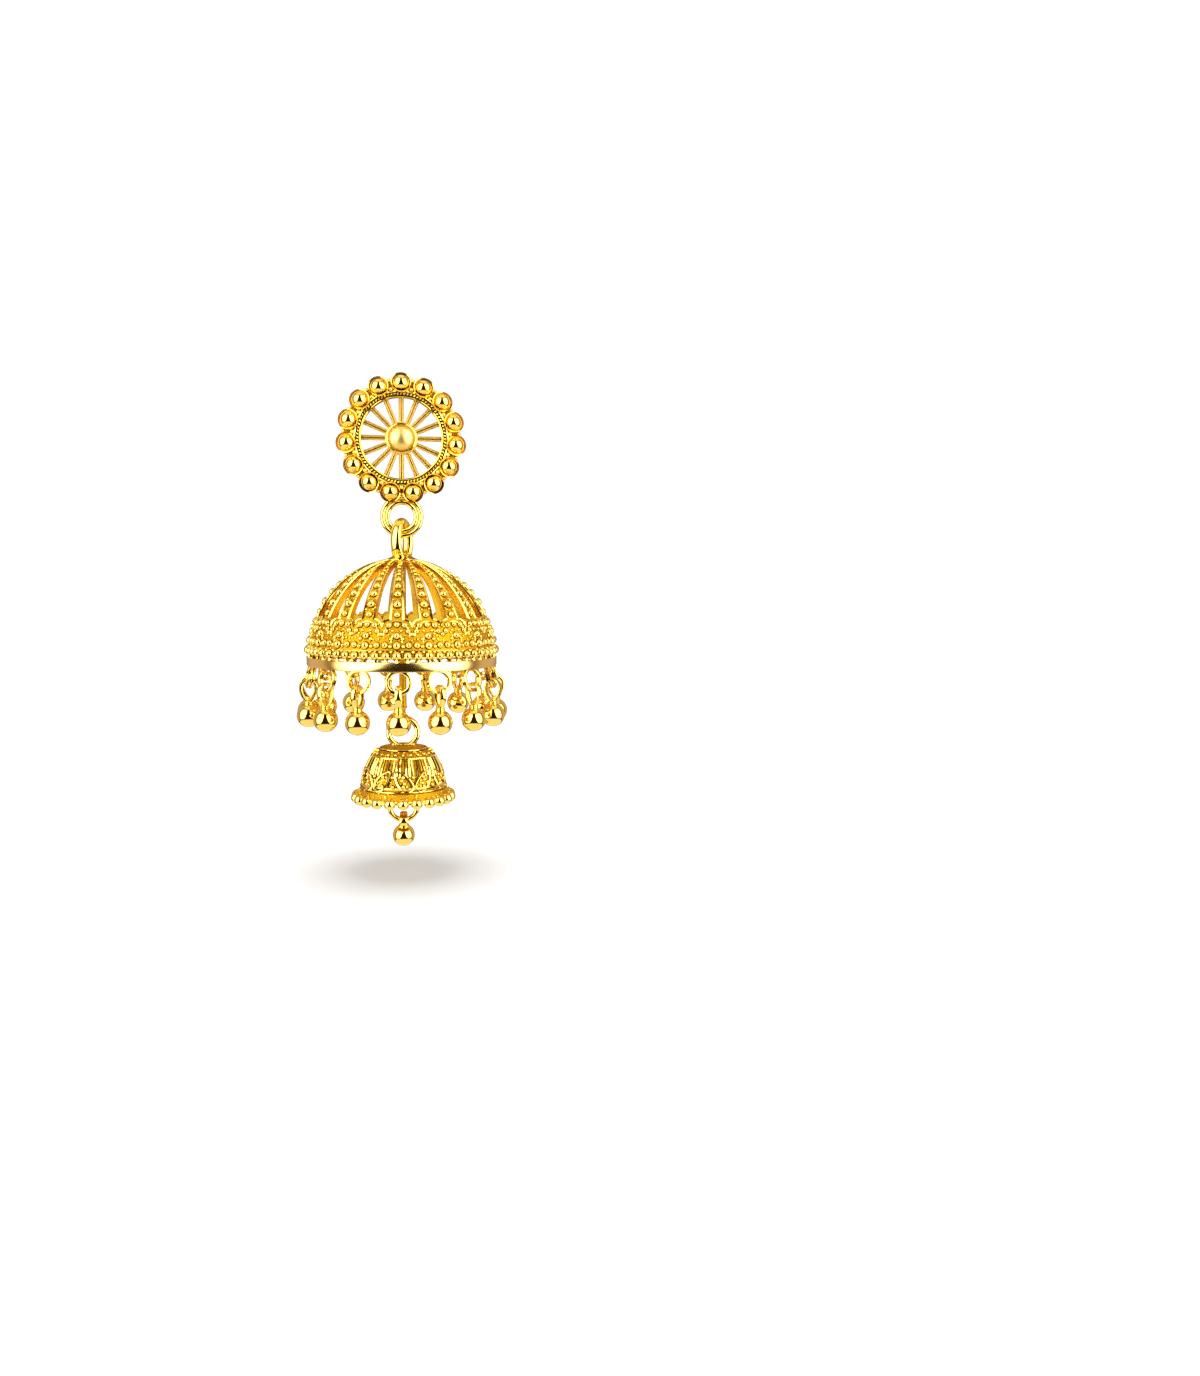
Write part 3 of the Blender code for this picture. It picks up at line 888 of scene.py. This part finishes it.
def rim_loop(form, turn):
    """A loop of two wires side by side under the band, leaning outward."""
    centre = on_axis(BELL_PIVOT) @ Matrix.Rotation(math.radians(turn), 4, "Z")
    out, up = loop_place(LOOP_RADIUS)
    place = centre @ Matrix.Translation((0, -out, up)) @ Matrix.Rotation(-LOOP_LEAN, 4, "X")
    angles = full_turn(32)
    path = LOOP_RADIUS * np.stack([np.sin(angles), 0 * angles, np.cos(angles)], axis=-1)
    for depth in (-0.14, 0.14):
        form.add(swept(path + (0, depth, 0), (0, 1, 0), 0.185, 0.15, 8, closed=True), POLISHED, place)


def dome_bail(form):
    """The flat wire loop that hooks the bell on the stud's ring, with a flared foot."""
    top = HANG_RING_WIRE + BAIL_GAP + BAIL_WIRE
    bottom = -CROWN_DROP - BAIL_SINK
    middle = BELL_PIVOT.z + 0.5 * (top + bottom)
    half = 0.5 * (top - bottom)
    angles = full_turn(48)
    path = np.stack([BAIL_HALF_WIDTH * np.sin(angles), 0 * angles, half * np.cos(angles)], axis=-1)
    flare = 0.20 * np.clip(-np.cos(angles), 0, 1) ** 3
    waist = 0.10 * np.clip(np.cos(angles), 0, 1) ** 2
    wide = 0.58 + flare - waist
    place = on_axis(BELL_PIVOT, middle) @ Matrix.Rotation(math.radians(90 - BAIL_TURN), 4, "Z")
    form.add(swept(path, (0, 1, 0), BAIL_WIRE - 0.01, wide, 18, closed=True), POLISHED, place)
    foot = [
        (0.0, 0.50),
        (0.75, 0.42),
        (1.05, 0.22),
        (1.30, 0.08),
        (1.65, -0.06),
        (1.65, -0.30),
        (0.0, -0.30),
    ]
    form.add(turned(foot, 48), POLISHED, on_axis(BELL_PIVOT, CROWN))


def hanger(form, top, low, stem_radius, eye_radius, eye_wire):
    """A plain stem inside a bell, with an eye across its foot."""
    centre = low + eye_wire + eye_radius
    profile = [
        (0.0, top),
        (stem_radius + 0.3, top),
        (stem_radius, top - 0.5),
        (stem_radius, centre + eye_radius + 0.3),
        (stem_radius + 0.08, centre + eye_radius),
        (0.0, centre + eye_radius - eye_wire),
    ]
    form.add(turned(profile, 24), SATIN_AND_SHADE, on_axis(BELL_PIVOT))
    angles = full_turn(32)
    path = np.stack([0 * angles, eye_radius * np.sin(angles), eye_radius * np.cos(angles)], axis=-1)
    eye = swept(path, (1, 0, 0), eye_wire, eye_wire, 10, closed=True)
    form.add(eye, POLISHED, on_axis(BELL_PIVOT, centre))


def make_dome():
    form = Form()
    rng = np.random.default_rng(7)
    dome_shell(form)
    dome_ribs(form)
    rib_grains(form, rng)
    girdle(form, rng)
    dome_rows(form)
    dome_band(form)
    for turn in drop_turns():
        rim_loop(form, turn)
    dome_bail(form)
    eye_low = SMALL_PIVOT.z - SMALL_RING_WIRE - LINK_GAP - 2 * EYE_WIRE
    hanger(form, CROWN - STEM_SINK, eye_low, STEM_RADIUS, EYE_RADIUS, EYE_WIRE)
    show(form.mesh("dome_gold"), "dome_gold", "bell", "dome")


# Ball drops, made once about the loop wire that they hang on

def drop_mesh():
    form = Form()
    top = LOOP_WIRE + LINK_GAP + DROP_BAIL_WIRE
    half = DROP_BAIL_HALF_HEIGHT
    angles = full_turn(40)
    pear = 1.0 + DROP_BAIL_PEAR * np.cos(angles)
    across = DROP_BAIL_HALF_WIDTH * np.sin(angles) * pear
    path = np.stack([0 * angles, across, top - half + half * np.cos(angles)], axis=-1)
    form.add(swept(path, (1, 0, 0), DROP_BAIL_WIRE - 0.005, 0.32, 12, closed=True, square=0.8), POLISHED)
    neck = top - 2 * half + 0.06
    for radius, wire, depth in ((0.36, 0.13, 0.06), (0.40, 0.11, 0.24)):
        form.add(torus(radius, wire, 28, 10), POLISHED, Matrix.Translation((0, 0, neck - depth)))
    reach = math.sqrt(DROP_BALL_RADIUS ** 2 - DROP_NECK_RADIUS ** 2)
    centre = neck - DROP_NECK_HEIGHT - reach
    form.add(ball(DROP_BALL_RADIUS - 0.005, 48, 28), POLISHED, Matrix.Translation((0, 0, centre)))
    return form.mesh("drop_gold")


def make_drops():
    mesh = drop_mesh()
    out, up = loop_place(2 * LOOP_RADIUS)
    for number, turn in enumerate(drop_turns(), start=1):
        spin = Matrix.Rotation(math.radians(turn), 3, "Z")
        place = spin @ Vector((0, -out, 0)) + Vector((0, BELL_PIVOT.y, up))
        node = f"drop_{number:02d}"
        show(mesh, f"{node}_gold", "bell", node, place, turn)


# Small bell

def small_radius(share):
    heights, radii = zip(*SMALL_PROFILE)
    return SMALL_RADIUS * np.interp(share, heights, radii)


def on_small(turn, share, lift=0.0):
    turn = np.radians(turn)
    share = np.asarray(share, float)
    radius = small_radius(share)
    slope = (small_radius(share + 0.02) - small_radius(share - 0.02)) / (0.04 * SMALL_HEIGHT)
    outward = 1.0 / np.sqrt(1.0 + slope ** 2)
    radius = radius + lift * outward
    height = SMALL_CROWN - SMALL_HEIGHT * share + lift * slope * outward
    x = radius * np.sin(turn)
    y = SMALL_PIVOT.y - radius * np.cos(turn)
    return np.stack(np.broadcast_arrays(x, y, height), axis=-1)


def small_normal(turn, share):
    return unit(on_small(turn, share, 1.0) - on_small(turn, share, 0.0))


def small_wire(form, turns, shares, wire, lift=0.0, closed=False, edge=0.0):
    """A polished wire on the small bell, with a dark strip of this width along either side that paints
    the shade at its foot.
    """
    turns, shares = np.broadcast_arrays(np.asarray(turns, float), np.asarray(shares, float))
    normals = small_normal(turns, shares)
    form.add(swept(on_small(turns, shares, lift), normals, wire, wire, 8, closed), POLISHED)
    # The dark strip beside the wire paints the shade at its foot
    if edge:
        form.add(swept(on_small(turns, shares), normals, wire + edge, SHADE_RISE, 6, closed), PAINTED_SHADE)


def small_shell(form):
    """The pierced wall, with a window in each sector, and the flat cap on top."""
    columns_each = 12
    window = 4
    columns = SMALL_SECTORS * columns_each
    turns = 360 / columns * np.arange(columns)
    shares = np.concatenate([
        np.linspace(0.012, 0.20, 6),
        np.linspace(0.20, 0.54, 8)[1:],
        np.linspace(0.54, 1.00, 12)[1:],
    ])
    window_rows = slice(6, 12)
    keep = np.ones((len(shares) - 1, columns), bool)
    for sector in range(SMALL_SECTORS):
        for cell in range(window):
            column = sector * columns_each + (columns_each - window) // 2 + cell
            keep[window_rows, column] = False
    outer = on_small(turns[None, :], shares[:, None])
    inner = on_small(turns[None, :], shares[:, None], -SMALL_WALL)
    # The outer wall's darker gold paints the shade of the ground between the beads
    form.add_wall(walled(outer, inner, keep), SATIN_AND_SHADE, INSIDE)
    cap = [(0.0, 0.05), (1.6, 0.03), (1.75, -0.10), (1.75, -0.30), (0.0, -0.30)]
    form.add(turned(cap, 48), SATIN_AND_SHADE, on_axis(SMALL_PIVOT, SMALL_CROWN))


def small_relief(form, rng):
    """Wires round the wall, wires along its windows, leaves, seated beads and grains."""
    circle = np.arange(0, 360, 5.0)
    small_wire(form, circle, 0.055, 0.10, 0.03, closed=True, edge=SHADE_EDGE)
    small_wire(form, circle, 0.19, 0.11, 0.03, closed=True)
    small_wire(form, circle, 0.735, 0.17, 0.05, closed=True, edge=SHADE_EDGE)
    small_wire(form, circle, 0.80, 0.08, 0.03, closed=True, edge=SHADE_EDGE)
    pitch = 360 / SMALL_SECTORS
    for sector in range(SMALL_SECTORS):
        window = pitch * sector + 0.5 * pitch
        bar = pitch * sector
        for turn in (window - 5.5, window + 5.5):
            small_wire(form, turn, np.linspace(0.20, 0.50, 10), 0.125, 0.04)
        for turn in (bar - 4.5, bar + 4.5):
            small_wire(form, turn, np.linspace(0.20, 0.50, 10), 0.105, 0.04, edge=SHADE_EDGE)
        small_wire(form, window, np.linspace(0.19, 0.55, 10), 0.10, -0.02)
        lean = 1 if sector % 2 else -1
        small_leaf(form, bar, lean)
        for turn in (bar, bar + 0.5 * pitch):
            for share, radius in SECTOR_BEADS:
                form.add_seated(on_small(turn, share, 0.05), small_normal(turn, share), radius)
    for _ in range(SMALL_GRAIN_TRIES):
        turn = rng.uniform(0, 360)
        share = rng.choice([rng.uniform(0.56, 0.71), rng.uniform(0.82, 0.98), rng.uniform(0.075, 0.17)])
        radius = rng.uniform(0.10, 0.15)
        place = on_small(turn, share, 0.2 * radius)
        form.add_beads(SMALL_BEAD, [(place, small_normal(turn, share), radius)], GRAIN)


def small_leaf(form, turn, lean):
    """A pointed leaf outline with beads along its middle."""
    steps = np.linspace(0, math.tau, 22)[:-1]
    along = LEAF_HALF_LENGTH * np.cos(steps)
    across = LEAF_HALF_WIDTH * np.sin(steps) * (1 - 0.25 * np.cos(steps))
    tilt = math.radians(LEAF_TILT * lean)
    right = along * math.sin(tilt) + across * math.cos(tilt)
    down = -along * math.cos(tilt) + across * math.sin(tilt)
    turns = turn + np.degrees(right / LEAF_CIRCLE)
    shares = LEAF_SHARE + down / SMALL_HEIGHT
    small_wire(form, turns, shares, 0.125, 0.10, closed=True, edge=SHADE_EDGE)
    for reach, radius in LEAF_BEADS:
        bead_turn = turn + math.degrees(reach * math.sin(tilt) / LEAF_CIRCLE)
        share = LEAF_SHARE - reach * math.cos(tilt) / SMALL_HEIGHT
        place = on_small(bead_turn, share, 0.06)
        form.add_beads(BEAD, [(place, small_normal(bead_turn, share), radius)], POLISHED)


def brim_place(turn, reach, height):
    return reach * math.sin(turn), SMALL_PIVOT.y - reach * math.cos(turn), height


def small_brim(form):
    """Large beads round the brim, with a small one over each space between them."""
    circle = np.arange(0, 360, 4.0)
    small_wire(form, circle, 0.985, 0.16, -0.12, closed=True)
    brim = SMALL_CROWN - SMALL_HEIGHT
    for number in range(SMALL_BEADS):
        turn = math.radians(360 * number / SMALL_BEADS)
        between = turn + math.pi / SMALL_BEADS
        large = (brim_place(turn, SMALL_RADIUS - 0.12, brim), (0, 0, 1), SMALL_BEAD_RADIUS)
        small = (brim_place(between, SMALL_RADIUS - 0.02, brim + 0.22), (0, 0, 1), 0.17)
        form.add_beads(ROUND_BEAD, [large, small], POLISHED)


def add_ring(form, radius, wire, top):
    """A round wire ring that faces the front, hung with its top wire's middle at this height."""
    facing = Matrix.Rotation(math.radians(90), 4, "X")
    form.add(torus(radius, wire, 56, 14), POLISHED, on_axis(SMALL_PIVOT, top - radius) @ facing)


def make_small_bell():
    form = Form()
    rng = np.random.default_rng(11)
    small_shell(form)
    small_relief(form, rng)
    small_brim(form)
    add_ring(form, SMALL_RING_RADIUS, SMALL_RING_WIRE, SMALL_PIVOT.z)
    for side in (-0.95, 0.95):
        solder = (side, SMALL_PIVOT.y, SMALL_CROWN + 0.02)
        form.add_beads(ROUND_BEAD, [(solder, (0, 0, 1), 0.34)], POLISHED)
    eye_low = CLAPPER_RING_TOP - CLAPPER_RING_WIRE - LINK_GAP - 2 * SMALL_EYE_WIRE
    stem_top = SMALL_CROWN - SMALL_STEM_SINK
    hanger(form, stem_top, eye_low, SMALL_STEM_RADIUS, SMALL_EYE_RADIUS, SMALL_EYE_WIRE)
    show(form.mesh("small_bell_gold"), "small_bell_gold", "lower_bell", "small_bell")


def make_clapper_ring():
    form = Form()
    add_ring(form, CLAPPER_RING_RADIUS, CLAPPER_RING_WIRE, CLAPPER_RING_TOP)
    show(form.mesh("clapper_ring_gold"), "clapper_ring_gold", "lower_bell", "clapper_ring")


def make_clapper():
    form = Form()
    hook_height = CLAPPER_RING_TOP - 2 * CLAPPER_RING_RADIUS
    reach = CLAPPER_RING_WIRE + LINK_GAP + CLAPPER_HOOK_WIRE
    angles = full_turn(36)
    path = reach * np.stack([0 * angles, np.sin(angles), np.cos(angles)], axis=-1)
    hook = swept(path, (1, 0, 0), CLAPPER_HOOK_WIRE - 0.01, 0.41, 12, closed=True, square=0.75)
    form.add(hook, POLISHED, on_axis(SMALL_PIVOT, hook_height))
    ball_height = hook_height - CLAPPER_BALL_DROP
    form.add(ball(CLAPPER_BALL_RADIUS, 48, 28), POLISHED, on_axis(SMALL_PIVOT, ball_height))
    for radius, lift in ((0.50, 1.03), (0.40, 1.16)):
        collar = on_axis(SMALL_PIVOT, ball_height + lift)
        form.add(torus(radius, 0.11, 28, 10), POLISHED, collar)
    show(form.mesh("clapper_gold"), "clapper_gold", "lower_bell", "clapper")


# Floor and lights

FLOOR_HEIGHT = -46.05
FLOOR_SIZE = 3000.0
FLOOR_GREY = 0.74
PANEL_LIGHT = 5.0
BACK_LIGHT = 0.65
TOP_LIGHT = 1.1
TABLE_LIGHT = 1.1
DARK_LIGHT = 0.03
DARK_TINT = (1.0, 0.45, 0.12)
BACKDROP_LIGHT = 1.05
LAMP_HEIGHT = 150.0
LAMP_SPREAD = 34
LAMP_POWER = 2.0

# Edges of the studio's lights in degrees: where each is 0 and where it is full.
# Turns are measured from the viewer, either way, and heights from the horizon.
PANEL_NEAR = (13.0, 25.0)
PANEL_FAR = (96.0, 66.0)
PANEL_LOW = (-31.0, -18.0)
PANEL_HIGH = (64.0, 34.0)
BACK_NEAR = (88.0, 112.0)
BACK_FAR = (200.0, 130.0)
BACK_LOW = (-31.0, -26.0)
BACK_HIGH = (66.0, 54.0)
TOP_LOW = (56.0, 66.0)
TABLE_HIGH = (-31.0, -35.0)

# The dark slot between the panels grows wider below: edges and added half widths in degrees
SLOT_FLARE = (30.0, 0.0)
SLOT_FLARE_WIDTH = 8.0
SLOT_FOOT = (0.0, -32.0)
SLOT_FOOT_WIDTH = 20.0


def make_floor():
    bpy.ops.mesh.primitive_plane_add(size=FLOOR_SIZE * MM, location=(0, 0, FLOOR_HEIGHT * MM))
    floor = bpy.context.active_object
    floor.name = "floor"
    floor.visible_glossy = False
    material = bpy.data.materials.new("floor_white")
    material.use_nodes = True
    shader = material.node_tree.nodes["Principled BSDF"]
    shader.inputs["Base Color"].default_value = (FLOOR_GREY, FLOOR_GREY, FLOOR_GREY, 1.0)
    shader.inputs["Roughness"].default_value = 0.9
    shader.inputs["Specular IOR Level"].default_value = 0.1
    floor.data.materials.append(material)


class Sky:
    """The world's light, worked out from the direction of a ray."""

    def __init__(self):
        world = bpy.data.worlds.new("studio")
        bpy.context.scene.world = world
        world.use_nodes = True
        self.nodes = world.node_tree.nodes
        self.links = world.node_tree.links

    def math(self, operation, first, second=None):
        node = self.nodes.new("ShaderNodeMath")
        node.operation = operation
        for socket, value in zip(node.inputs, (first, second)):
            if isinstance(value, (int, float)):
                socket.default_value = value
            elif value is not None:
                self.links.new(value, socket)
        return node.outputs[0]

    def step(self, value, edge):
        """A soft edge, 0 at its start and 1 at its end, whichever of them is lower."""
        start, end = edge
        node = self.nodes.new("ShaderNodeMapRange")
        node.interpolation_type = "SMOOTHSTEP"
        node.inputs["From Min"].default_value = min(start, end)
        node.inputs["From Max"].default_value = max(start, end)
        node.inputs["To Min"].default_value = 0.0 if start < end else 1.0
        node.inputs["To Max"].default_value = 1.0 if start < end else 0.0
        self.links.new(value, node.inputs["Value"])
        return node.outputs["Result"]

    def area(self, strength, *edges):
        """A light that lies within all its edges."""
        result = self.step(*edges[0])
        for edge in edges[1:]:
            result = self.math("MULTIPLY", result, self.step(*edge))
        return self.math("MULTIPLY", result, strength)

    def total(self, *values):
        result = values[0]
        for value in values[1:]:
            result = self.math("ADD", result, value)
        return result

    def mix(self, kind, factor, first, second):
        """A blend of two numbers or two colours, each a plain value or a node's output."""
        node = self.nodes.new("ShaderNodeMix")
        node.data_type = kind
        self.links.new(factor, node.inputs["Factor"])
        for name, value in (("A", first), ("B", second)):
            if isinstance(value, bpy.types.NodeSocket):
                self.links.new(value, node.inputs[name])
            else:
                node.inputs[name].default_value = value
        return node.outputs["Result"]


def sky_angles(sky):
    """How far a direction is turned from the viewer, either way, and its height, in degrees."""
    ray = sky.nodes.new("ShaderNodeTexCoord")
    split = sky.nodes.new("ShaderNodeSeparateXYZ")
    sky.links.new(ray.outputs["Generated"], split.inputs[0])
    x, y, z = split.outputs
    turn = sky.math("ARCTAN2", x, sky.math("MULTIPLY", y, -1.0))
    turn = sky.math("ABSOLUTE", sky.math("MULTIPLY", turn, 180 / math.pi))
    height = sky.math("MULTIPLY", sky.math("ARCSINE", z), 180 / math.pi)
    return turn, height


def sky_level(sky):
    """Tall soft panels either side of the viewer, a dark slot between them and a pale table."""
    turn, height = sky_angles(sky)
    flare = sky.math("MULTIPLY", sky.step(height, SLOT_FLARE), SLOT_FLARE_WIDTH)
    foot = sky.math("MULTIPLY", sky.step(height, SLOT_FOOT), SLOT_FOOT_WIDTH)
    slot = sky.math("ADD", flare, foot)
    beside = sky.math("SUBTRACT", turn, slot)
    panels = sky.area(PANEL_LIGHT, (beside, PANEL_NEAR), (turn, PANEL_FAR),
                      (height, PANEL_LOW), (height, PANEL_HIGH))
    back = sky.area(BACK_LIGHT, (turn, BACK_NEAR), (turn, BACK_FAR),
                    (height, BACK_LOW), (height, BACK_HIGH))
    top = sky.area(TOP_LIGHT, (height, TOP_LOW))
    table = sky.area(TABLE_LIGHT, (height, TABLE_HIGH))
    return sky.total(panels, back, top, table)


def make_sky():
    """The studio that the gold mirrors. Every other ray meets a plain white sky."""
    sky = Sky()
    white = (1.0, 1.0, 1.0, 1.0)
    level = sky_level(sky)
    shade = sky.mix("RGBA", level, (*DARK_TINT, 1.0), white)
    glow = sky.math("ADD", level, DARK_LIGHT)
    mirrored = sky.nodes.new("ShaderNodeLightPath").outputs["Is Glossy Ray"]
    strength = sky.mix("FLOAT", mirrored, BACKDROP_LIGHT, glow)
    colour = sky.mix("RGBA", mirrored, white, shade)
    background = sky.nodes["Background"]
    sky.links.new(strength, background.inputs["Strength"])
    sky.links.new(colour, background.inputs["Color"])


def make_lamp():
    """A soft lamp overhead that gives the floor its shadow and isn't mirrored in the gold."""
    data = bpy.data.lights.new("overhead", "SUN")
    data.angle = math.radians(LAMP_SPREAD)
    data.energy = LAMP_POWER
    lamp = bpy.data.objects.new("overhead", data)
    bpy.context.scene.collection.objects.link(lamp)
    lamp.location = Vector((0.0, 0.0, LAMP_HEIGHT)) * MM
    lamp.visible_glossy = False


# Camera

CAMERA_PLACE = (1.13, -127.0, -12.57)
CAMERA_TARGET = (21.37, 0.0, -26.34)
CAMERA_LENS = 30.77
CAMERA_ROLL = 0.0117


def make_camera():
    data = bpy.data.cameras.new("camera")
    data.sensor_width = 36.0
    data.lens = CAMERA_LENS
    data.clip_start = 0.005
    data.clip_end = 10.0
    camera = bpy.data.objects.new("camera", data)
    bpy.context.scene.collection.objects.link(camera)
    place = Vector(CAMERA_PLACE) * MM
    look = Vector(CAMERA_TARGET) * MM - place
    turn = look.to_track_quat("-Z", "Y").to_matrix().to_4x4()
    camera.matrix_world = Matrix.Translation(place) @ turn @ Matrix.Rotation(CAMERA_ROLL, 4, "Z")
    bpy.context.scene.camera = camera


make_stud()
make_dome()
make_drops()
make_small_bell()
make_clapper_ring()
make_clapper()
make_floor()
make_sky()
make_lamp()
make_camera()
bpy.context.scene.view_settings.view_transform = "Standard"
